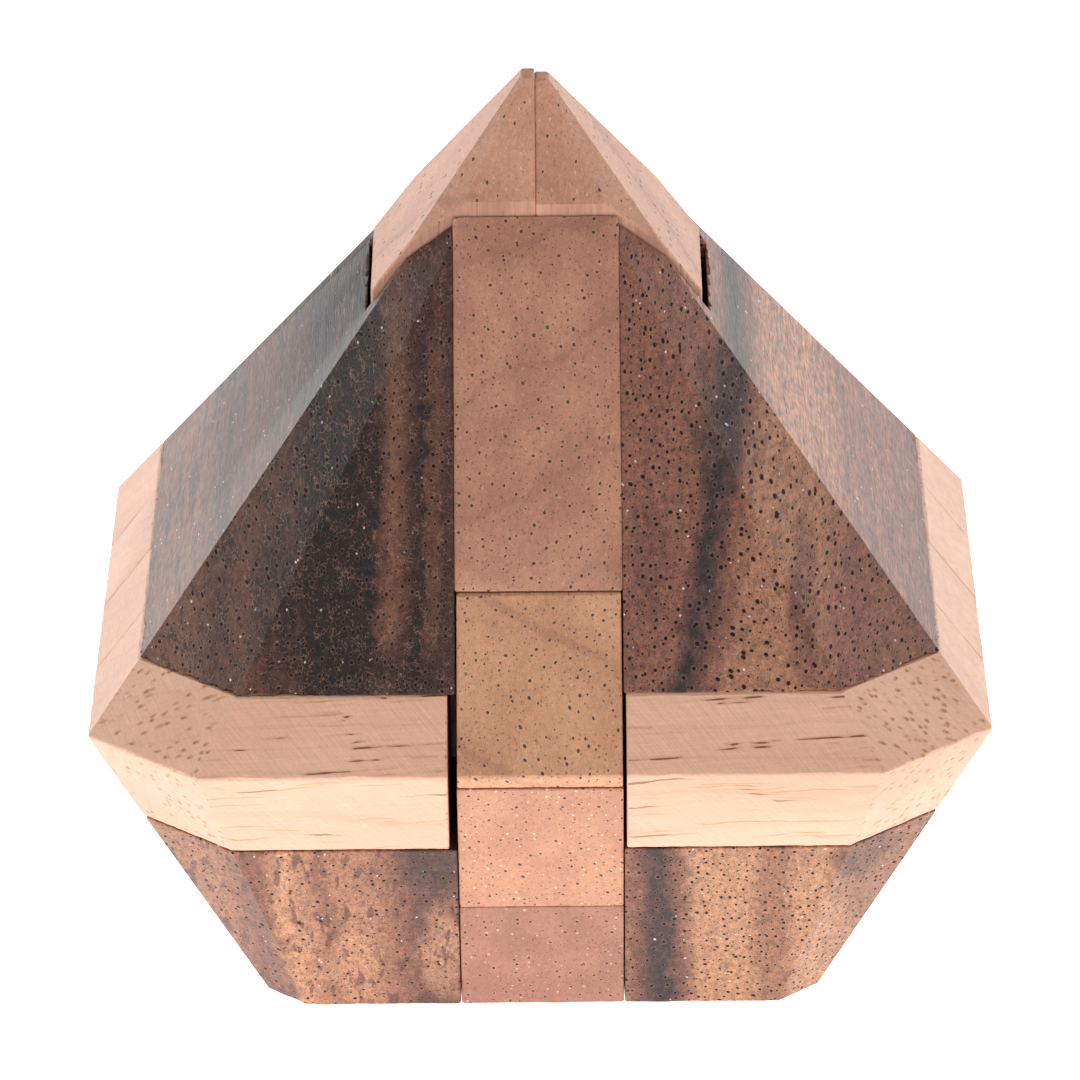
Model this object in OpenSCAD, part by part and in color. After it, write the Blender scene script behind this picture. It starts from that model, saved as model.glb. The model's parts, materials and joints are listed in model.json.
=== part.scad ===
// Six-piece wooden burr puzzle, cut to the shape of a brilliant gem.
// Six glued assemblies lock together; the key slides out along Y and frees the rest.
// X runs left to right, Y front to back, Z up; the flat base rests on Z = 0.

/* [Gem outline] */
// Width across the flat sides at the girdle, the widest level
gem_w = 81.2; // [70:0.2:98]
// Length cut off each corner of the girdle
girdle_cut = 10.2; // [6:0.2:14]
// Width across the flat sides of the base
base_w = 50.2; // [46:0.2:64]
// Length cut off each corner of the base
base_cut = 3.6; // [2:0.2:8]
// Height of the girdle above the base
girdle_z = 29.2; // [24:0.2:40]
// Height of the crown's point above the girdle
crown_h = 52.6; // [42:0.2:66]

/* [Sticks] */
// Side of the square sticks
stick_w = 15; // [12:0.5:18]
// Depth of the two uprights, front to back
upright_d = 17; // [14:0.5:20]
// Distance from the girdle down to the centre of the burr
burr_drop = 1.5; // [0:0.1:3]

/* [Fit] */
// Gap between faces that slide on each other or only meet
slide_gap = 0.15; // [0.1:0.05:0.4]
// Gap on each side of the keel
close_gap = 0.1; // [0.05:0.05:0.3]
// Gap beside the left upright in the crown's slot
left_slot_gap = 0.4; // [0.2:0.1:1]
// Gap beside the right upright in the crown's slot
right_slot_gap = 0.6; // [0.2:0.1:1]
// Gap between the left band block and the middle column
left_band_gap = 0.7; // [0.2:0.1:1.2]
// Gap between the right band block and the middle column
right_band_gap = 0.2; // [0.1:0.1:1.2]
// Height by which the left upright stands proud of the crown
left_rise = 1.1; // [0.2:0.1:2]
// Height by which the right upright stands proud of the crown
right_rise = 0.8; // [0.2:0.1:2]
// Height worn off the sharp point of each upright
tip_wear = 1.6; // [0.4:0.1:2]

/* [Hidden] */

light_wood = "#e2ba8f";
pink_wood = "#bd8567";
key_wood = "#b98a63";
dark_wood = "#6b4638";

u = stick_w / 2;                    // half a stick, the burr's unit of length
d = upright_d / 2;                  // half the uprights' depth
burr_z = girdle_z - burr_drop;      // height of the burr's centre
far = gem_w;                        // a distance that is outside the gem everywhere
halves = [-1, 1];

// Half the width across a pair of opposite corner facets, from the flats' width and the cut
function corner_half(width, cut) = (width - cut) / sqrt(2);

// Side view of the crown alone: straight walls up to the girdle, then the slope to the point
function crown_outline(half, rise) = [[-half, 0], [half, 0], [half, girdle_z + rise],
    [0, girdle_z + crown_h + rise], [-half, girdle_z + rise]];

// Side view of the pavilion alone: the slope from the base to the girdle, then straight walls
function pavilion_outline(base_half, half) = [[-base_half, 0], [base_half, 0], [half, girdle_z],
    [half, girdle_z + far], [-half, girdle_z + far], [-half, girdle_z]];

module prism(outline, angle)
    rotate([0, 0, angle])
        rotate([90, 0, 0])
            linear_extrude(height = 4 * far, center = true) polygon(outline);

// The crown's four flat facets alone, without the corner facets between them
module crown_flats(rise = 0) {
    flat = crown_outline(gem_w / 2, rise);
    intersection() {
        prism(flat, 0);
        prism(flat, 90);
    }
}

// All eight crown facets, which share one point, lifted by rise
module crown(rise = 0) {
    corner = crown_outline(corner_half(gem_w, girdle_cut), rise);
    intersection() {
        crown_flats(rise);
        prism(corner, 45);
        prism(corner, 135);
    }
}

// Four pairs of pavilion facets, from the girdle down to the base
module pavilion() {
    flat = pavilion_outline(base_w / 2, gem_w / 2);
    corner = pavilion_outline(corner_half(base_w, base_cut), corner_half(gem_w, girdle_cut));
    intersection() {
        prism(flat, 0);
        prism(flat, 90);
        prism(corner, 45);
        prism(corner, 135);
    }
}

module gem() {
    intersection() {
        crown();
        pavilion();
    }
}

// Box between two limits on each axis, measured from the centre of the burr
module span(x, y, z)
    translate([x[0], y[0], burr_z + z[0]])
        cube([x[1] - x[0], y[1] - y[0], z[1] - z[0]]);

// Puts a shape drawn for one side on the side given by -1 or 1 along X, or along Y
module on_x(side) mirror([side < 0 ? 0 : 1, 0, 0]) children();
module on_y(side) mirror([0, side < 0 ? 0 : 1, 0]) children();

// The space that both uprights take up, with room around it in X and in Y
module upright_slot(gap_x, gap_y)
    span([-2 * u - gap_x, 2 * u + gap_x], [-d - gap_y, d + gap_y], [-far, far]);

// Key: the only uncut stick, along Y above the burr's centre
module key_stick()
    color(key_wood)
        intersection() {
            gem();
            span([-u + slide_gap, u - slide_gap], [-far, far], [slide_gap, 2 * u - slide_gap]);
        }

// Cross stick along X, drawn for the front, notched for the uprights and under the key
module cross_stick(side, top_gap)
    color(light_wood)
        difference() {
            intersection() {
                gem();
                on_y(side) span([-far, far], [-2 * u, -slide_gap / 2], [-u, u - top_gap]);
            }
            upright_slot(slide_gap, slide_gap);
            span([-u, u], [-far, far], [0, far]);
        }
module front_cross_stick() cross_stick(-1, 0);
module back_cross_stick() cross_stick(1, slide_gap);

// Band block: carries a cross stick's band round one corner of the gem
module band_block(side_x, side_y, gap, top_gap)
    color(light_wood)
        intersection() {
            gem();
            on_x(side_x) on_y(side_y)
                span([-far, -u - gap], [-far, -2 * u], [-u, u - top_gap]);
        }
module front_left_band_block() band_block(-1, -1, left_band_gap, 0);
module front_right_band_block() band_block(1, -1, right_band_gap, 0);
module back_left_band_block() band_block(-1, 1, right_band_gap, slide_gap);
module back_right_band_block() band_block(1, 1, right_band_gap, slide_gap);

// Keel: the lower stick along Y, notched from above for both cross sticks
module keel_stick()
    color(pink_wood)
        difference() {
            intersection() {
                gem();
                span([-u + close_gap, u - close_gap], [-far, far], [-2 * u, 0]);
            }
            for (side = halves)
                on_y(side)
                    span([-far, far], [-2 * u - slide_gap, -d + slide_gap],
                        [-u - slide_gap, far]);
        }

// Upright: the stick along Z, notched for the key and the keel, with a pointed cap
module upright_stick(side, rise)
    color(pink_wood)
        difference() {
            intersection() {
                crown(rise);
                on_x(side)
                    span([-2 * u, 0], [-d, d],
                        [-burr_z, crown_h + burr_drop + rise - tip_wear]);
            }
            span([-u, u], [-far, far], [-2 * u - slide_gap, 2 * u]);
        }
module left_upright_stick() upright_stick(-1, left_rise);
module right_upright_stick() upright_stick(1, right_rise);

// Crown block: all of the crown on one side, slotted for the uprights
module crown_block(side, slot_gap)
    color(dark_wood)
        difference() {
            intersection() {
                gem();
                on_x(side) span([-far, -u], [-far, far], [u, far]);
            }
            upright_slot(slot_gap, slide_gap);
        }
module left_crown_block() crown_block(-1, left_slot_gap);
module right_crown_block() crown_block(1, right_slot_gap);

// Crown wedge: fills the crown above the key, in front of the uprights or behind them
module crown_wedge(side)
    color(pink_wood)
        intersection() {
            crown_flats();
            on_y(side) span([-u, u], [-far, -d - slide_gap], [2 * u, far]);
        }
module front_crown_wedge() crown_wedge(-1);
module back_crown_wedge() crown_wedge(1);

// Pavilion block: all of the pavilion on one side, glued round its upright
module pavilion_block(side)
    color(dark_wood)
        difference() {
            intersection() {
                gem();
                on_x(side) span([-far, -u], [-far, far], [-far, -u - slide_gap]);
            }
            upright_slot(0, 0);
        }
module left_pavilion_block() pavilion_block(-1);
module right_pavilion_block() pavilion_block(1);

// Pavilion wedge: glued under the keel, in front of the uprights or behind them
module pavilion_wedge(side)
    color(pink_wood)
        intersection() {
            gem();
            on_y(side)
                span([-u + close_gap, u - close_gap], [-far, -d - slide_gap], [-far, -2 * u]);
        }
module front_pavilion_wedge() pavilion_wedge(-1);
module back_pavilion_wedge() pavilion_wedge(1);

key_stick();
front_cross_stick();
back_cross_stick();
keel_stick();
left_upright_stick();
right_upright_stick();
left_crown_block();
right_crown_block();
front_crown_wedge();
back_crown_wedge();
front_left_band_block();
front_right_band_block();
back_left_band_block();
back_right_band_block();
left_pavilion_block();
right_pavilion_block();
front_pavilion_wedge();
back_pavilion_wedge();
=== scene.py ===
"""Gem-shaped wooden burr puzzle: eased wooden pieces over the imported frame, with their woods."""

import json
import math

import bmesh
import bpy
from mathutils import Matrix, Vector, noise

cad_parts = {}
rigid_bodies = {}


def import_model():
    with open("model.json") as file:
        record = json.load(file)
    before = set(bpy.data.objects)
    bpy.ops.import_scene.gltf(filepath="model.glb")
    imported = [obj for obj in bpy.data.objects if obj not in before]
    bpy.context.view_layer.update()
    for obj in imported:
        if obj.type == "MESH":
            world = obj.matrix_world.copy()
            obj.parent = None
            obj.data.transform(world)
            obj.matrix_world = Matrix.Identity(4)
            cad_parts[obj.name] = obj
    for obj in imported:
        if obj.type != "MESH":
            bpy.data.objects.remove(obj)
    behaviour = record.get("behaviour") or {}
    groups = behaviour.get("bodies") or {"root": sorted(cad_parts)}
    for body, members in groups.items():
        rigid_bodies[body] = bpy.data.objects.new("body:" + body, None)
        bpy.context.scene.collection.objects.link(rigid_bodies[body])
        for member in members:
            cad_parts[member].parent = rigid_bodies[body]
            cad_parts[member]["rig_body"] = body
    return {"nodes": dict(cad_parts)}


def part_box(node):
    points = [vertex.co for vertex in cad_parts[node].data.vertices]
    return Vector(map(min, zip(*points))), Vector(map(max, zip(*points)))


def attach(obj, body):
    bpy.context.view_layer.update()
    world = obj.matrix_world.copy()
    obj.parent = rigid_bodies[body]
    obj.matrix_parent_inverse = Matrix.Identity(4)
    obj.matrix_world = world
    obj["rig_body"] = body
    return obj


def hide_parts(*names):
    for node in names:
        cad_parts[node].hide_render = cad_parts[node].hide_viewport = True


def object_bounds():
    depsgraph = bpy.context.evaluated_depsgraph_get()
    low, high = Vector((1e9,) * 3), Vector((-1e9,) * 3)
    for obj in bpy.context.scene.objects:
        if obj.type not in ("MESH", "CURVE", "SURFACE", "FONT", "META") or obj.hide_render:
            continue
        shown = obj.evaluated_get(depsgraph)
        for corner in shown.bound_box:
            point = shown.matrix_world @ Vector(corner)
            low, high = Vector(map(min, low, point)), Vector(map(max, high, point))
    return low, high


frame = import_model()
cad_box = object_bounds()

bl_info = {
    "name": "Gem burr puzzle",
    "version": (1, 0, 0),
    "blender": (4, 5, 0),
    "location": "3D View > Sidebar > Puzzle",
    "description": "Builds a gem-shaped wooden burr puzzle with eased edges and three woods",
    "category": "Add Mesh",
}

MM = 0.001
BROAD = 1.5 * MM**2  # faces larger than this are a piece's own faces, not its eased corners
FLAT = math.radians(1)  # faces closer than this are one plane
CORNER = math.radians(50)  # edges that turn by more than this get eased
MERGE = 0.001 * MM  # points closer than this are one point
WEAR_STEP = 0.5 * MM  # distance between the points that wear moves along an edge
WEAR_PATCH, WEAR_CHIP = 2.2 * MM, 0.8 * MM  # sizes of the slow and the fast unevenness


def points(node):
    return [vert.co for vert in frame["nodes"][node].data.vertices]


# Places that the patterns and the wear are laid out from, all read off the frame
COLUMN_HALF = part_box("front_crown_wedge")[1].x
SLOT_HALF = -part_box("left_upright_stick")[0].x
HALF_WIDTH = cad_box[1].x
CROWN_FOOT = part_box("left_crown_block")[0].z
BASE_HALF = max(abs(co.y) for co in points("front_pavilion_wedge") if co.z < MM)
GIRDLE_Z = max(points("front_left_band_block"), key=lambda co: abs(co.x)).z

# How far the rougher wear of a crown block reaches, and where its corner facet starts
SLOT_REACH = 1.2 * MM
SLOT_LENGTH = COLUMN_HALF * 1.4
FOOT_REACH = 1 * MM
CORNER_START = HALF_WIDTH * 1.35

# Vessels, in mm: spacing, smallest and largest radius, and the share of places that hold one
BROWN_PORES = (1.1, 0.04, 0.14)  # each piece gives its own share
BROWN_DOTS = (0.6, 0.035, 0.095, 0.7)
BROWN_FLECKS = (1.15, 0.04, 0.12, 0.5)
DARK_DOTS = (0.55, 0.03, 0.085, 0.6)

# Dashes, in mm: length, spacing, radius, and the share of places that hold one
LIGHT_DASH = (60, 0.6)  # its radius and share vary over the surface
LIGHT_CORE, LIGHT_HALO = 0.105, 0.19  # radius of a dash and of its soft edge
LIGHT_WISPS = (26, 0.8, 0.15, 0.5)
LIGHT_THREADS = (40, 0.5, 0.11, 0.9)
# The dark woods' painted glints: near-white specks in the vessels that stand in for glints of
# light
DARK_PAINTED_GLINTS = (1.5, 0.8, 0.12, 0.2)

DASH_SLOPE, THREAD_SLOPE = 0.07, 0.04  # how far the pale wood's grain falls along X
LIGHT_RING = 3.1  # distance between the pale wood's growth rings in mm
GIRDLE_BLEND = 0.3  # half the height in mm over which the lower faces' figure sets in
MOTTLE_RISE = 3  # distance in mm over which the dark wood's mottle sets in
LIGHT_RELIEF = BROWN_RELIEF = 0.08 * MM
DARK_RELIEF = 0.13 * MM

FLOOR_SIZE = 4
FLOOR_DROP = 0.02 * MM
FLOOR_ROUGHNESS = 0.9
GLOW_START, GLOW_FULL = -3, 0.5  # where the floor starts to glow, in mm outside the base; inside this the floor is painted dark as the shade under the gem, and the soft rise just outside the base is a painted contact shadow
CAMERA_REACH = 20

# Size and place in metres of each softbox, by the name of its power setting
SOFTBOXES = {
    "left": ((0.8, 0.6), (-0.7, 0.75, 0.45)),
    "right": ((0.8, 0.6), (0.7, 0.75, 0.45)),
    "front": ((0.9, 0.4), (0, -1.0, 0.25)),
}


# ---------------------------------------------------------------- shader maths


class Value:
    """A number socket that adds Math nodes when it is used in an expression."""

    def __init__(self, shader, socket):
        self.shader = shader
        self.socket = socket

    def _math(self, operation, *operands):
        return self.shader.value("ShaderNodeMath", {"operation": operation}, operands)

    def __add__(self, other):
        return self._math("ADD", self, other)

    __radd__ = __add__

    def __sub__(self, other):
        return self._math("SUBTRACT", self, other)

    def __rsub__(self, other):
        return self._math("SUBTRACT", other, self)

    def __mul__(self, other):
        return self._math("MULTIPLY", self, other)

    __rmul__ = __mul__

    def __truediv__(self, other):
        return self._math("DIVIDE", self, other)

    def __rtruediv__(self, other):
        return self._math("DIVIDE", other, self)

    def absolute(self):
        return self._math("ABSOLUTE", self)

    def sine(self):
        return self._math("SINE", self)

    def squared(self):
        return self * self

    def larger(self, other):
        return self._math("MAXIMUM", self, other)

    def step(self, low, high):
        """0 below low and 1 above high, with a smooth rise between them."""
        settings = {"interpolation_type": "SMOOTHSTEP"}
        return self.shader.value("ShaderNodeMapRange", settings, (self, low, high, 0, 1))


class Shader:
    """A material's node tree with short ways to add the nodes that the woods use."""

    def __init__(self, name):
        self.material = bpy.data.materials.new(name)
        self.material.use_nodes = True
        self.tree = self.material.node_tree
        self.surface = self.tree.nodes["Principled BSDF"]

    def node(self, kind, settings=None, inputs=()):
        """Adds a node, makes its settings, then sets or links its first inputs, or named ones."""
        node = self.tree.nodes.new(kind)
        for key, setting in (settings or {}).items():
            setattr(node, key, setting)
        pairs = inputs.items() if isinstance(inputs, dict) else enumerate(inputs)
        for key, given in pairs:
            self.feed(node.inputs[key], given)
        return node

    def feed(self, socket, given):
        given = getattr(given, "socket", given)
        if isinstance(given, bpy.types.NodeSocket):
            self.tree.links.new(given, socket)
        elif socket.type == "RGBA":
            socket.default_value = (*given, 1)
        else:
            socket.default_value = given

    def value(self, kind, settings=None, inputs=(), output=0):
        return Value(self, self.node(kind, settings, inputs).outputs[output])

    def place(self):
        """Object coordinates in millimetres, as three numbers."""
        coordinates = self.node("ShaderNodeTexCoord").outputs["Object"]
        scale = (1 / MM, 1 / MM, 1 / MM)
        scaled = self.node("ShaderNodeMapping", None, {"Vector": coordinates, "Scale": scale})
        split = self.node("ShaderNodeSeparateXYZ", None, (scaled.outputs[0],)).outputs
        return [Value(self, socket) for socket in split]

    def facing(self, axis):
        """How squarely the surface faces along an axis: 1 straight along it, 0 square to it."""
        normal = self.node("ShaderNodeTexCoord").outputs["Normal"]
        split = self.node("ShaderNodeSeparateXYZ", None, (normal,)).outputs
        return Value(self, split[axis]).absolute()

    def vector(self, x, y, z=0.0):
        return self.node("ShaderNodeCombineXYZ", None, (x, y, z)).outputs[0]

    def noise(self, where, detail):
        inputs = {"Vector": where, "Scale": 1.0, "Detail": detail}
        return self.value("ShaderNodeTexNoise", None, inputs)

    def cells(self, where, flat=False):
        """Distance to the nearest of scattered points, and a random number for each point."""
        settings = {"voronoi_dimensions": "2D" if flat else "3D"}
        node = self.node("ShaderNodeTexVoronoi", settings, {"Vector": where, "Scale": 1.0})
        chance = self.node("ShaderNodeSeparateColor", None, (node.outputs["Color"],))
        return Value(self, node.outputs["Distance"]), Value(self, chance.outputs[0])

    def ramp(self, factor, stops):
        node = self.node("ShaderNodeValToRGB", None, (factor,))
        elements = node.color_ramp.elements
        while len(elements) < len(stops):
            elements.new(0.5)
        for element, (position, colour) in zip(elements, stops):
            element.position = position
            element.color = (*colour, 1)
        return node.outputs[0]

    def mix(self, factor, first, second):
        settings = {"data_type": "RGBA", "blend_type": "MIX", "clamp_factor": True}
        node = self.node("ShaderNodeMix", settings)
        self.feed(node.inputs[0], factor)
        self.feed(node.inputs[6], first)
        self.feed(node.inputs[7], second)
        return node.outputs[2]

    def brighten(self, colour, amount):
        """Scales a colour by a number that varies over the surface."""
        node = self.node("ShaderNodeVectorMath", {"operation": "SCALE"}, (colour,))
        self.feed(node.inputs["Scale"], amount)
        return node.outputs[0]

    def finish(self, colour, roughness, height, depth, specular=0.5):
        """Links a colour, a roughness and a bump of the given depth in metres to the surface."""
        bump = self.node("ShaderNodeBump", None, {"Height": height, "Distance": depth})
        self.feed(self.surface.inputs["Base Color"], colour)
        self.feed(self.surface.inputs["Roughness"], roughness)
        self.feed(self.surface.inputs["Normal"], bump.outputs[0])
        self.surface.inputs["Specular IOR Level"].default_value = specular
        return self.material


# ---------------------------------------------------------------- woods


def along_grain(shader, along, shift):
    """Places as (along the grain, across it, up or across), moved so that no two pieces match."""
    order = {"X": (0, 1, 2), "Y": (1, 0, 2), "Z": (2, 0, 1)}[along]
    place = shader.place()
    return tuple(place[axis] + by for axis, by in zip(order, shift))


def grain_noise(shader, spot, along, across, detail=2.0):
    """Noise drawn out along the grain: along and across are the sizes of its patches in mm."""
    a, b, c = spot
    return shader.noise(shader.vector(a / along, b / across, c / across), detail)


def end_grain(shader, along):
    """1 where a surface cuts across the grain, and 0 where the grain lies in the surface."""
    return shader.facing("XYZ".index(along)).step(0.1, 0.55)


def vessels(shader, spot, spacing, smallest, largest, share):
    """Open vessels that run on along the grain: 1 inside them, and 1 in the ring round them."""
    a, b, c = spot
    drift = (grain_noise(shader, spot, 30, 14, 1) - 0.5) * 5
    where = shader.vector((b + drift) / spacing, (c - drift) / spacing)
    distance, chance = shader.cells(where, flat=True)
    away = distance * spacing
    radius = smallest + chance / share * (largest - smallest)
    present = 1 - chance.step(share - 0.01, share)
    inside = (1 - (away / radius).step(0.7, 1.25)) * present
    ring = (1 - (away / radius).step(1.4, 2.3)) * present
    return inside, ring


def dashes(shader, spot, length, spacing, radius, share):
    """Vessels that come and go along the grain, seen as long tapered dashes: 1 inside them."""
    a, b, c = spot
    drift = (grain_noise(shader, spot, 16, 7, 4) - 0.5) * 3.2
    where = shader.vector(a / length, (b + drift) / spacing, (c - drift) / spacing)
    distance, chance = shader.cells(where)
    present = chance.step(1 - share, 1 - share + 0.04)
    return (1 - (distance * (spacing / radius)).step(0.5, 1.1)) * present


def light_wood(name, shift, woods):
    """Pale wood with its grain along X: tapered dashes, fine threads and sanding marks."""
    shader = Shader(name)
    a, b, c = along_grain(shader, "X", shift)
    spot = (a, b, c - a * DASH_SLOPE)
    broad = grain_noise(shader, spot, 45, 7)
    colour = shader.mix(broad.step(0.35, 0.7), woods.light, woods.light_shade)
    patchy = grain_noise(shader, (a + 50, b, c), 14, 2.2).step(0.3, 0.42)
    cut = shader.facing(0)
    slant, end = cut.step(0.3, 0.5), cut.step(0.65, 0.75)
    girdle = GIRDLE_Z / MM
    low = shader.place()[2].step(girdle + GIRDLE_BLEND, girdle - GIRDLE_BLEND)
    swell = 1 + slant * 0.35 - low * 0.2
    share = 0.95 - slant * 0.45
    shown = patchy.larger(low * 0.8)
    lines = dashes(shader, spot, *LIGHT_DASH, LIGHT_CORE * swell, share) * shown * (1 - end)
    halo = dashes(shader, spot, *LIGHT_DASH, LIGHT_HALO * swell, share) * shown * (1 - end * 0.8)
    wisps = dashes(shader, (a + 7, b + 31, c), *LIGHT_WISPS)
    rings = ((b * 0.9 + c + broad * 5) / LIGHT_RING * math.tau).sine().step(0.86, 1.0)
    threads = dashes(shader, (a + 13, b + 5, c - a * THREAD_SLOPE), *LIGHT_THREADS)
    threads = threads * low * (1 - cut)
    colour = shader.mix(rings * 0.1, colour, woods.light_line)
    colour = shader.mix(threads * 0.55, colour, woods.light_line)
    colour = shader.mix(wisps * 0.3, colour, woods.light_line)
    colour = shader.mix(halo * (0.4 + slant * 0.25), colour, woods.light_line)
    colour = shader.mix(lines * (0.9 - slant * 0.5 - low * 0.3), colour, woods.light_pore)
    fibre = grain_noise(shader, spot, 7, 0.22)
    sanding = shader.noise(shader.vector((a - c) / 7, (a + c) / 0.24, b / 2), 1)
    grit = shader.noise(shader.vector(a / 0.2, b / 0.2, c / 0.2), 2)
    tone = 0.68 + fibre * 0.2 + sanding * 0.28 + grit * 0.22
    colour = shader.brighten(colour, tone)
    height = 0.25 * fibre + 0.3 * sanding - 0.8 * lines
    return shader.finish(colour, 0.42 + 0.16 * grit, height, LIGHT_RELIEF, 0.6)


def pink_wood(name, shift, woods, colours, along, tilt, gap, pale, share=0.75):
    """Mid-brown wood: fine pores in all its end grain, faint growth rings and soft clouds."""
    shader = Shader(name)
    spot = along_grain(shader, along, shift)
    a, b, c = spot
    base, shade = colours
    wobble = grain_noise(shader, spot, 60, 9)
    ring = ((c + b * tilt + wobble * 7) / gap * math.tau).sine() * 0.5 + 0.5
    cloud = grain_noise(shader, (a, b + 40, c), 30, 4, 4)
    colour = shader.mix(cloud.step(0.3, 0.72), base, shade)
    colour = shader.mix(ring.step(0.35, 1.0) * 0.14, colour, woods.pink_ring)
    colour = shader.mix(ring.step(0.97, 1.0) * 0.3, colour, woods.pink_ring)
    ends = 0.25 + end_grain(shader, along) * 0.75
    holes, rims = vessels(shader, spot, *BROWN_PORES, share)
    dots, _ = vessels(shader, (a, b + 17, c + 5), *BROWN_DOTS)
    flecks, _ = vessels(shader, (a + 9, b - 23, c + 41), *BROWN_FLECKS)
    bruise = grain_noise(shader, (a, b, c + 90), 5, 0.5, 1).step(0.66, 0.78)
    colour = shader.mix(bruise * 0.25, colour, woods.pink_pore)
    colour = shader.mix((rims - holes).larger(0) * 0.1, colour, woods.pale_speck)
    colour = shader.mix(flecks * pale, colour, woods.pale_speck)
    colour = shader.mix(dots * ends * share * 0.8, colour, woods.pink_pore)
    colour = shader.mix(holes * ends * 0.9, colour, woods.pink_pore)
    if along == "Z":  # painted shade: the faces that look squarely forward or back are darkened, standing in for the shade under an upright's cap
        under_cap_shade = shader.facing(1).step(0.9, 0.99)
        colour = shader.mix(under_cap_shade * cloud.step(0.3, 0.7) * 0.6 + under_cap_shade * 0.15, colour, woods.pink_ring)
    fibre = grain_noise(shader, spot, 5, 0.16)
    grit = grain_noise(shader, (a, b, c + 7), 1.4, 0.5, 3)
    colour = shader.brighten(colour, 0.5 + fibre * 0.6 + grit * 0.44)
    height = 0.4 * fibre + 0.3 * grit - holes * ends
    return shader.finish(colour, 0.42 + 0.16 * fibre + 0.4 * holes, height, BROWN_RELIEF)


def patch(shader, spot, x, z, wide, tall):
    """A soft ragged patch that runs along the grain: 1 in its middle, 0 outside it."""
    a, b, c = spot
    across, up = (b.absolute() - x) / wide, (c - z) / tall
    ragged = grain_noise(shader, spot, 30, 3, 4) * 1.8
    return (across.squared() + up.squared() + ragged).step(2.0, 0.9)


def dark_wood(name, woods, figure):
    """Streaked dark wood with its grain along Y, its tones placed outwards from the middle."""
    shader = Shader(name)
    here = along_grain(shader, "Y", (0, 0, 0))
    spot = along_grain(shader, "Y", figure["shift"])
    a, b, c = spot
    sway = (grain_noise(shader, spot, 50, 9, 2) - 0.5) * figure["sway"]
    ragged = (grain_noise(shader, spot, 16, 1.3, 4) - 0.5) * 2.6
    outwards = here[1].absolute() + (here[2] - GIRDLE_Z / MM) * figure["lean"] + sway + ragged
    start, reach = COLUMN_HALF / MM, (HALF_WIDTH - COLUMN_HALF) / MM
    tones = {tone: getattr(woods, tone) for tone in ("black", "dark", "mid", "warm", "gold")}
    stops = [((at - start) / reach, tones[tone]) for at, tone in figure["tones"]]
    colour = shader.ramp((outwards - start) / reach, stops)
    for tone, strength, *place in figure["patches"]:
        colour = shader.mix(patch(shader, here, *place) * strength, colour, tones[tone])
    mottle_start = figure["mottle_start"]
    mottle = outwards.step(mottle_start, mottle_start + MOTTLE_RISE) * figure["mottle"]
    blotch = grain_noise(shader, (a, b, c * 0.8), 12, 0.9, 5)
    colour = shader.mix(blotch.step(0.5, 0.66) * mottle, colour, woods.black)
    colour = shader.mix(blotch.step(0.5, 0.3) * mottle * 0.7, colour, woods.warm)
    rays = grain_noise(shader, (a, b / 12, c), 30, 0.3, 2)
    colour = shader.mix(rays.step(0.45, 0.7) * figure["rays"], colour, woods.gold)
    strokes = grain_noise(shader, (a, b + 60, c / 2.6), 30, 0.75, 2)
    colour = shader.mix(strokes.step(0.56, 0.66) * figure["strokes"], colour, woods.dark)
    fibre = grain_noise(shader, spot, 4, 0.15, 3)
    grit = grain_noise(shader, (a, b, c + 9), 1.6, 0.45, 4)
    ends = end_grain(shader, "Y")
    contrast = 1.5 - ends * 0.7
    tone = 0.98 + ((fibre - 0.5) * 1.7 + (grit - 0.5) * 1.6) * contrast
    colour = shader.brighten(colour, tone * figure["tone"])
    curls = (grain_noise(shader, (a + 3, b, c), 6, 0.5, 3) - 0.5).absolute().step(0.035, 0.0)
    colour = shader.mix(curls * blotch.step(0.4, 0.6) * figure["curl"], colour, woods.rim)
    holes, rims = vessels(shader, spot, *figure["pores"])
    dots, _ = vessels(shader, (a, b + 13, c + 7), *DARK_DOTS)
    colour = shader.mix((rims - holes).larger(0) * ends * figure["rim"], colour, woods.rim)
    colour = shader.mix(dots * ends * 0.7, colour, woods.dark_pore)
    colour = shader.mix(holes * (0.05 + ends * 0.93), colour, woods.dark_pore)
    # Painted highlight: near-white specks along the vessels stand in for glints of light
    painted_glints = dashes(shader, (a + 5, b + 3, c + 29), *DARK_PAINTED_GLINTS)
    colour = shader.mix(painted_glints * 0.8, colour, woods.glint)
    open_ends = holes * ends
    height = 0.5 * fibre + 0.35 * grit + 0.2 * curls - open_ends
    roughness = 0.4 + 0.16 * fibre + 0.35 * open_ends
    return shader.finish(colour, roughness, height, DARK_RELIEF, 0.35)


# ---------------------------------------------------------------- pieces


def wear_depth(spot, roughest):
    """How far an edge is worn at a spot: mostly a little, and in places up to roughest."""
    slow = noise.noise(spot / WEAR_PATCH)
    fast = noise.noise(spot / WEAR_CHIP)
    return roughest * max(0.0, 0.3 + 0.6 * slow + 0.7 * fast)


def corners(shape):
    return [e for e in shape.edges if e.is_manifold and e.calc_face_angle() > CORNER]


def wear_down(vert, depth):
    """Moves a point of an eased corner inwards, and keeps the broad faces that it is in flat."""
    broad = [face.normal for face in vert.link_faces if face.calc_area() > BROAD]
    shift = -vert.normal
    for normal in broad:
        shift -= normal * shift.dot(normal)
    if len(broad) == 1 and shift.length > 0.05:
        shift.normalize()
    return shift * depth


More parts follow.
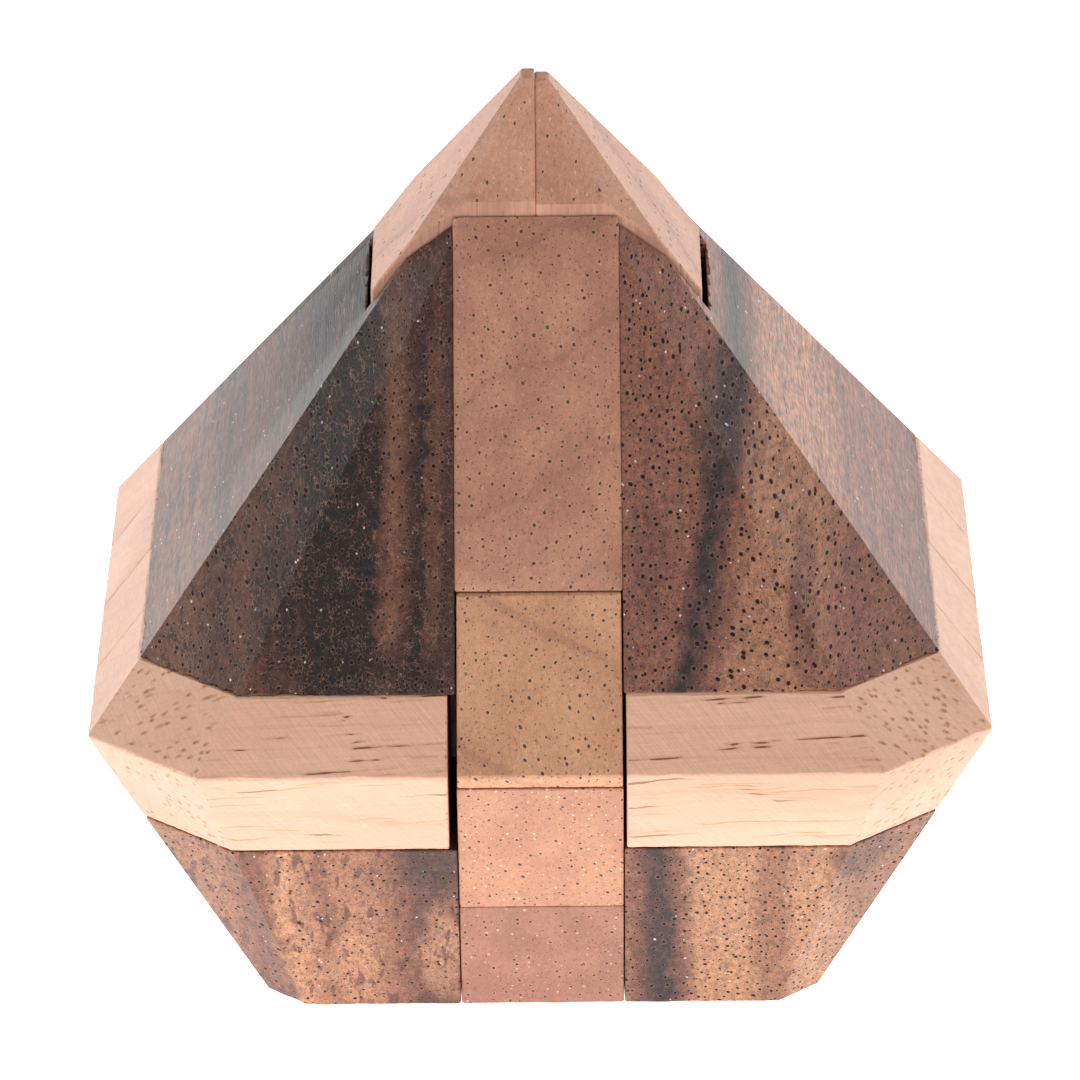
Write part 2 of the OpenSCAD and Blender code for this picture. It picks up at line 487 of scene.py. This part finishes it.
def eased(node, ease, wear):
    """A solid copy of a CAD node with its corners rounded by ease and worn as wear(spot) says."""
    shape = bmesh.new()
    shape.from_mesh(frame["nodes"][node].data)
    bmesh.ops.remove_doubles(shape, verts=shape.verts, dist=MERGE)
    bmesh.ops.dissolve_limit(shape, angle_limit=FLAT, verts=shape.verts, edges=shape.edges)
    for edge in corners(shape):
        cuts = int(edge.calc_length() / WEAR_STEP)
        if cuts:
            bmesh.ops.subdivide_edges(shape, edges=[edge], cuts=cuts)
    bmesh.ops.bevel(
        shape,
        geom=corners(shape),
        offset=ease,
        segments=2,
        profile=0.5,
        affect="EDGES",
        clamp_overlap=True,
        material=-1,
    )
    shape.normal_update()
    shifts = {v: wear_down(v, wear_depth(v.co, wear(v.co))) for v in shape.verts}
    for vert, shift in shifts.items():
        vert.co += shift
    bmesh.ops.triangulate(shape, faces=[f for f in shape.faces if len(f.verts) > 4])
    return shape


def show(node, shape, material):
    """Makes the shape an object that rides on its node's body and stands for the node."""
    mesh = bpy.data.meshes.new(node + "_wood")
    shape.to_mesh(mesh)
    shape.free()
    mesh.materials.append(material)
    piece = bpy.data.objects.new(node + "_wood", mesh)
    bpy.context.scene.collection.objects.link(piece)
    body = frame["nodes"][node]["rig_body"]
    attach(piece, body)
    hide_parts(node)
    return piece


def crown_wear(edges):
    """Wear for a crown block: chipped at the uprights' slot and under the corner facets."""

    def depth(spot):
        at_slot = abs(abs(spot.x) - SLOT_HALF) < SLOT_REACH and abs(spot.y) < SLOT_LENGTH
        at_foot = abs(spot.z - CROWN_FOOT) < FOOT_REACH
        at_corner = at_foot and abs(spot.x) + abs(spot.y) > CORNER_START
        return edges.slot_wear if at_slot else edges.corner_wear if at_corner else edges.wear

    return depth


# ---------------------------------------------------------------- settings


def colour(name, description, default):
    return bpy.props.FloatVectorProperty(
        name=name, description=description, default=default, subtype="COLOR", min=0, max=1
    )


def length(name, description, default):
    return bpy.props.FloatProperty(
        name=name, description=description, default=default, unit="LENGTH", precision=5
    )


def angle(name, description, degrees):
    return bpy.props.FloatProperty(
        name=name, description=description, default=math.radians(degrees), unit="ROTATION"
    )


def strength(name, description, default):
    return bpy.props.FloatProperty(name=name, description=description, default=default, min=0)


class PuzzleWoods(bpy.types.PropertyGroup):
    light: colour("Pale wood", "Colour of the girdle band", (0.86, 0.50, 0.35))
    light_shade: colour("Pale wood, shade", "Broad darker grain", (0.81, 0.455, 0.31))
    light_line: colour("Pale wood, line", "Soft edges of the vessels", (0.48, 0.18, 0.05))
    light_pore: colour("Pale wood, pore", "Open vessels", (0.22, 0.065, 0.015))
    upright: colour("Upright wood", "Colour of the uprights", (0.70, 0.36, 0.235))
    upright_shade: colour("Upright wood, shade", "Clouds in the uprights", (0.61, 0.30, 0.19))
    wedge: colour("Wedge wood", "Colour of the wedges", (0.60, 0.29, 0.19))
    wedge_shade: colour("Wedge wood, shade", "Clouds in the wedges", (0.49, 0.225, 0.15))
    foot: colour("Foot wood", "Colour of the pavilion wedges", (0.44, 0.205, 0.14))
    foot_shade: colour("Foot wood, shade", "Clouds in the pavilion wedges", (0.36, 0.16, 0.11))
    keel: colour("Keel wood", "Colour of the keel", (0.60, 0.30, 0.18))
    keel_shade: colour("Keel wood, shade", "Clouds in the keel", (0.53, 0.245, 0.155))
    key: colour("Key wood", "Colour of the key", (0.74, 0.385, 0.22))
    key_shade: colour("Key wood, shade", "Clouds in the key", (0.65, 0.32, 0.18))
    pink_ring: colour("Brown woods, ring", "Growth rings", (0.34, 0.15, 0.10))
    pink_pore: colour("Brown woods, pore", "Open vessels", (0.10, 0.035, 0.022))
    pale_speck: colour("Brown woods, speck", "Pale filled vessels", (0.95, 0.72, 0.56))
    black: colour("Dark wood, black", "Black streaks", (0.050, 0.036, 0.036))
    dark: colour("Dark wood, dark", "Dark brown heartwood", (0.150, 0.066, 0.054))
    mid: colour("Dark wood, middle", "Middle brown heartwood", (0.28, 0.118, 0.080))
    warm: colour("Dark wood, warm", "Light brown heartwood", (0.44, 0.205, 0.125))
    gold: colour("Dark wood, gold", "Lightest heartwood", (0.66, 0.335, 0.19))
    rim: colour("Dark wood, rim", "Lighter walls round the pores", (0.46, 0.235, 0.17))
    dark_pore: colour("Dark wood, pore", "Open vessels", (0.012, 0.007, 0.007))
    # Painted highlight: this near-white colour is painted into the vessels as glints of light
    glint: colour("Dark wood, glint", "Pale deposits in the vessels", (1.0, 0.93, 0.88))


class PuzzleEdges(bpy.types.PropertyGroup):
    ease: length("Easing", "Rounding of every corner", 0.16 * MM)
    wear: length("Wear", "Deepest uneven wear of a corner", 0.08 * MM)
    slot_wear: length("Slot wear", "Chipping beside the uprights", 0.6 * MM)
    corner_wear: length("Foot wear", "Chipping under the corner facets", 0.7 * MM)


class PuzzleStage(bpy.types.PropertyGroup):
    floor: colour("Floor", "Colour of the floor", (0.9, 0.9, 0.9))
    floor_glow: strength("Floor glow", "Light given off by the floor", 1.15)
    sky: strength("Surround", "Strength of the even surround", 0.34)
    left: strength("Left light", "Power of the left light in watts", 5.0)
    right: strength("Right light", "Power of the right light in watts", 4.9)
    front: strength("Front light", "Power of the front light in watts", 2.2)
    lens: strength("Lens", "Focal length in millimetres", 292.8)
    distance: length("Distance", "From the camera to the gem's middle", 0.8134)
    pitch: angle("Pitch", "How far the camera looks down", 21.82)
    roll: angle("Roll", "Lean of the gem in the frame", 0.546)
    aim: length("Aim", "Height above the girdle that the camera looks at", 6.39 * MM)


# ---------------------------------------------------------------- operators


class PuzzleOperator:
    """What every operator here shares: its options, and the settings kept on the scene."""

    bl_options = {"REGISTER", "UNDO"}

    @property
    def woods(self):
        return bpy.context.scene.puzzle_woods

    @property
    def edges(self):
        return bpy.context.scene.puzzle_edges

    def cut(self, node, material, slot, wear=None):
        """Makes one piece, worn evenly unless wear(spot) says otherwise."""
        edges = self.edges
        shape = eased(node, edges.ease, wear or (lambda spot: edges.wear))
        return show(node, shape, material)


class PUZZLE_OT_key(PuzzleOperator, bpy.types.Operator):
    """Make the key, the uncut stick that slides out"""

    bl_idname = "puzzle.key"
    bl_label = "Key"

    def execute(self, context):
        woods = self.woods
        colours = (woods.key, woods.key_shade)
        grain = pink_wood("key_grain", (3, 0, 11), woods, colours, "Y", 0.6, 13, 0.2)
        self.cut("key_stick", grain, "key_wood")
        return {"FINISHED"}


class PUZZLE_OT_band(PuzzleOperator, bpy.types.Operator):
    """Make the pale band: the two cross sticks and the four band blocks"""

    bl_idname = "puzzle.band"
    bl_label = "Band"

    def execute(self, context):
        shifts = {
            "front_left_band_block": (4, 0, 2),
            "front_right_band_block": (61, 8, 5),
            "back_left_band_block": (120, 3, 9),
            "back_right_band_block": (180, 14, 1),
            "front_cross_stick": (240, 6, 7),
            "back_cross_stick": (300, 2, 12),
        }
        for node, shift in shifts.items():
            self.cut(node, light_wood(node + "_grain", shift, self.woods), "light_wood")
        return {"FINISHED"}


class PUZZLE_OT_uprights(PuzzleOperator, bpy.types.Operator):
    """Make the two upright sticks with their pointed caps"""

    bl_idname = "puzzle.uprights"
    bl_label = "Uprights"

    def execute(self, context):
        woods = self.woods
        colours = (woods.upright, woods.upright_shade)
        for node, shift in (
            ("left_upright_stick", (0, 4, 9)),
            ("right_upright_stick", (40, 22, 31)),
        ):
            grain = pink_wood(node + "_grain", shift, woods, colours, "Z", 0.8, 14, 0.35, 0.4)
            self.cut(node, grain, "pink_wood")
        return {"FINISHED"}


class PUZZLE_OT_keel(PuzzleOperator, bpy.types.Operator):
    """Make the keel, the notched stick under the key"""

    bl_idname = "puzzle.keel"
    bl_label = "Keel"

    def execute(self, context):
        woods = self.woods
        colours = (woods.keel, woods.keel_shade)
        grain = pink_wood("keel_grain", (17, 0, 3), woods, colours, "Y", 0.2, 30, 0.8)
        self.cut("keel_stick", grain, "pink_wood")
        return {"FINISHED"}


class PUZZLE_OT_wedges(PuzzleOperator, bpy.types.Operator):
    """Make the brown wedges in the crown and in the pavilion"""

    bl_idname = "puzzle.wedges"
    bl_label = "Wedges"

    def execute(self, context):
        woods = self.woods
        wedges = {
            "front_crown_wedge": ((9, 0, 2), -0.35, 9, 0.2),
            "back_crown_wedge": ((31, 5, 12), 0.3, 10, 0.2),
            "front_pavilion_wedge": ((5, 0, 4), 0.12, 6.5, 0.5),
            "back_pavilion_wedge": ((23, 7, 8), 0.2, 9, 0.5),
        }
        for node, (shift, tilt, gap, pale) in wedges.items():
            low = "pavilion" in node
            colours = (woods.foot, woods.foot_shade) if low else (woods.wedge, woods.wedge_shade)
            grain = pink_wood(node + "_grain", shift, woods, colours, "Y", tilt, gap, pale)
            self.cut(node, grain, "pink_wood")
        return {"FINISHED"}


# Each figure says, in millimetres where it is a length:
#   shift: where in the wood the piece is cut from; tone: its overall brightness
#   tones: how far outwards from the middle each tone lies; lean: how far they lean as they rise
#   patches: (tone, strength, outwards, height, half width, half height); sway: their waviness
#   mottle, mottle_start: strength of the black and light blotches, and where they set in
#   curl, rim, rays, strokes: strength of the curly lines, of the light walls round the pores,
#       of the level light lines and of the dark strokes; pores: as for the vessels above
CROWN_FIGURES = {
    "left_crown_block": {
        "shift": (2, 0, 5),
        "tone": 0.54,
        "tones": (
            (7.5, "dark"),
            (9.0, "dark"),
            (9.6, "mid"),
            (10.4, "mid"),
            (10.9, "black"),
            (12.0, "dark"),
            (12.6, "mid"),
            (13.6, "warm"),
            (14.4, "mid"),
            (15.2, "black"),
            (21.0, "black"),
            (23.0, "dark"),
            (27.0, "mid"),
            (29.0, "dark"),
            (32.0, "warm"),
            (40.6, "mid"),
        ),
        "patches": (
            ("dark", 0.7, 9, 66, 7, 9),
            ("black", 0.8, 23.5, 42, 3, 5),
            ("black", 0.8, 12, 36.5, 5, 3),
        ),
        "sway": 1.2,
        "lean": 0.03,
        "mottle": 0.75,
        "mottle_start": 20,
        "curl": 0.6,
        "rim": 0.16,
        "pores": (0.85, 0.04, 0.14, 0.95),
        "rays": 0.05,
        "strokes": 0.25,
    },
    "right_crown_block": {
        "shift": (40, 9, 30),
        "tone": 1.14,
        "tones": (
            (7.5, "mid"),
            (9.0, "mid"),
            (9.8, "dark"),
            (10.6, "black"),
            (11.2, "black"),
            (12.2, "dark"),
            (13.4, "mid"),
            (15.0, "warm"),
            (21.0, "warm"),
            (24.5, "mid"),
            (29.0, "mid"),
            (40.6, "dark"),
        ),
        "patches": (
            ("black", 0.75, 16.5, 55, 3, 6),
            ("dark", 0.7, 23.5, 41, 1.6, 7),
            ("dark", 0.5, 10, 45, 2, 6),
        ),
        "sway": 2.6,
        "lean": -0.25,
        "mottle": 0.3,
        "mottle_start": 0,
        "curl": 0.04,
        "rim": 0.22,
        "pores": (0.82, 0.05, 0.17, 0.9),
        "rays": 0.0,
        "strokes": 0.1,
    },
}
PAVILION_FIGURES = {
    "left_pavilion_block": {
        "shift": (71, 0, 15),
        "tone": 0.95,
        "tones": (
            (7.5, "warm"),
            (10.0, "mid"),
            (11.0, "dark"),
            (13.0, "dark"),
            (14.5, "mid"),
            (17.0, "warm"),
            (20.0, "warm"),
            (21.0, "mid"),
            (22.0, "warm"),
            (25.0, "gold"),
            (26.5, "mid"),
            (28.0, "mid"),
            (31.0, "warm"),
            (40.6, "warm"),
        ),
        "patches": (
            ("black", 0.9, 9, 20, 4.5, 7),
            ("gold", 0.7, 9, 7, 2.5, 7),
            ("gold", 0.7, 17, 5, 3, 7),
        ),
        "sway": 2.5,
        "lean": -0.1,
        "mottle": 0.25,
        "mottle_start": 0,
        "curl": 0.08,
        "rim": 0.15,
        "pores": (0.95, 0.04, 0.14, 0.8),
        "rays": 0.08,
        "strokes": 0.75,
    },
    "right_pavilion_block": {
        "shift": (110, 19, 50),
        "tone": 0.84,
        "tones": (
            (7.5, "warm"),
            (8.6, "mid"),
            (9.8, "black"),
            (10.8, "black"),
            (12.2, "mid"),
            (14.0, "gold"),
            (18.5, "gold"),
            (20.0, "warm"),
            (22.0, "warm"),
            (23.2, "gold"),
            (25.5, "gold"),
            (27.5, "warm"),
            (40.6, "warm"),
        ),
        "patches": (
            ("dark", 0.7, 29, 18, 3.5, 3.5),
            ("gold", 0.6, 26, 8, 4, 6),
            ("dark", 0.3, 9, 13, 2.5, 9),
        ),
        "sway": 2.5,
        "lean": 0.0,
        "mottle": 0.25,
        "mottle_start": 0,
        "curl": 0.05,
        "rim": 0.25,
        "pores": (0.8, 0.05, 0.15, 0.85),
        "rays": 0.0,
        "strokes": 0.25,
    },
}


class PUZZLE_OT_crown_blocks(PuzzleOperator, bpy.types.Operator):
    """Make the two dark crown blocks"""

    bl_idname = "puzzle.crown_blocks"
    bl_label = "Crown blocks"

    def execute(self, context):
        for node, figure in CROWN_FIGURES.items():
            grain = dark_wood(node + "_grain", self.woods, figure)
            self.cut(node, grain, "dark_wood", crown_wear(self.edges))
        return {"FINISHED"}


class PUZZLE_OT_pavilion_blocks(PuzzleOperator, bpy.types.Operator):
    """Make the two dark pavilion blocks"""

    bl_idname = "puzzle.pavilion_blocks"
    bl_label = "Pavilion blocks"

    def execute(self, context):
        for node, figure in PAVILION_FIGURES.items():
            self.cut(node, dark_wood(node + "_grain", self.woods, figure), "dark_wood")
        return {"FINISHED"}


def area_light(name, power, size, place):
    """A rectangular softbox that points at the gem's middle."""
    lamp = bpy.data.lights.new(name, "AREA")
    lamp.energy = power
    lamp.shape = "RECTANGLE"
    lamp.size, lamp.size_y = size
    light = bpy.data.objects.new(name, lamp)
    light.location = place
    towards = Vector((0, 0, GIRDLE_Z)) - Vector(place)
    light.rotation_euler = towards.to_track_quat("-Z", "Y").to_euler()
    bpy.context.scene.collection.objects.link(light)


class PUZZLE_OT_stage(PuzzleOperator, bpy.types.Operator):
    """Make the floor, the soft studio light and the camera"""

    bl_idname = "puzzle.stage"
    bl_label = "Stage"

    def execute(self, context):
        stage = context.scene.puzzle_stage
        self.floor(stage)
        self.lights(context, stage)
        self.camera(context, stage)
        return {"FINISHED"}

    def floor(self, stage):
        shape = bmesh.new()
        bmesh.ops.create_grid(shape, x_segments=1, y_segments=1, size=FLOOR_SIZE)
        bmesh.ops.translate(shape, vec=(0, 0, -FLOOR_DROP), verts=shape.verts)
        mesh = bpy.data.meshes.new("floor")
        shape.to_mesh(mesh)
        shape.free()
        floor = bpy.data.objects.new("floor", mesh)
        bpy.context.scene.collection.objects.link(floor)
        shader = Shader("floor_paint")
        x, y, z = shader.place()
        base = BASE_HALF / MM
        # Painted shade: the floor gives off no light under the base, and its glow only rises to
        # full just outside the base, as a painted contact shadow
        glow_outside_painted_shade = (x.squared() + y.squared()).step((base + GLOW_START) ** 2, (base + GLOW_FULL) ** 2)
        surface = shader.surface.inputs
        shader.feed(surface["Emission Color"], shader.mix(glow_outside_painted_shade, (0, 0, 0), (1, 1, 1)))
        surface["Base Color"].default_value = (*stage.floor, 1)
        surface["Roughness"].default_value = FLOOR_ROUGHNESS
        surface["Emission Strength"].default_value = stage.floor_glow
        mesh.materials.append(shader.material)

    def lights(self, context, stage):
        world = bpy.data.worlds.new("surround")
        world.use_nodes = True
        background = world.node_tree.nodes["Background"].inputs
        background["Color"].default_value = (1, 1, 1, 1)
        background["Strength"].default_value = stage.sky
        context.scene.world = world
        context.scene.view_settings.view_transform = "Standard"
        for side, (size, place) in SOFTBOXES.items():
            area_light(side + "_softbox", getattr(stage, side), size, place)

    def camera(self, context, stage):
        data = bpy.data.cameras.new("camera")
        data.lens = stage.lens
        data.clip_end = CAMERA_REACH
        camera = bpy.data.objects.new("camera", data)
        back = stage.distance * Vector((0, -math.cos(stage.pitch), math.sin(stage.pitch)))
        camera.matrix_world = (
            Matrix.Translation((0, 0, GIRDLE_Z))
            @ Matrix.Rotation(stage.roll, 4, "Y")
            @ Matrix.Translation(Vector((0, 0, stage.aim)) + back)
            @ Matrix.Rotation(math.pi / 2 - stage.pitch, 4, "X")
        )
        context.scene.collection.objects.link(camera)
        context.scene.camera = camera


class PUZZLE_PT_panel(bpy.types.Panel):
    """The puzzle's operators and settings, in the 3D view's sidebar"""

    bl_idname = "PUZZLE_PT_panel"
    bl_label = "Gem burr puzzle"
    bl_space_type = "VIEW_3D"
    bl_region_type = "UI"
    bl_category = "Puzzle"

    def draw(self, context):
        for operator in OPERATORS:
            self.layout.operator(operator.bl_idname)
        for settings in GROUPS:
            group = getattr(context.scene, settings)
            for name in group.__annotations__:
                self.layout.prop(group, name)


OPERATORS = (
    PUZZLE_OT_stage,
    PUZZLE_OT_key,
    PUZZLE_OT_band,
    PUZZLE_OT_uprights,
    PUZZLE_OT_keel,
    PUZZLE_OT_wedges,
    PUZZLE_OT_crown_blocks,
    PUZZLE_OT_pavilion_blocks,
)
GROUPS = {"puzzle_woods": PuzzleWoods, "puzzle_edges": PuzzleEdges, "puzzle_stage": PuzzleStage}


def register():
    for cls in (*GROUPS.values(), *OPERATORS, PUZZLE_PT_panel):
        bpy.utils.register_class(cls)
    for name, group in GROUPS.items():
        setattr(bpy.types.Scene, name, bpy.props.PointerProperty(type=group))


def unregister():
    for name in GROUPS:
        delattr(bpy.types.Scene, name)
    for cls in reversed((*GROUPS.values(), *OPERATORS, PUZZLE_PT_panel)):
        bpy.utils.unregister_class(cls)


def main():
    register()
    for operator in OPERATORS:
        group, name = operator.bl_idname.split(".")
        getattr(getattr(bpy.ops, group), name)()


if __name__ == "__main__":
    main()
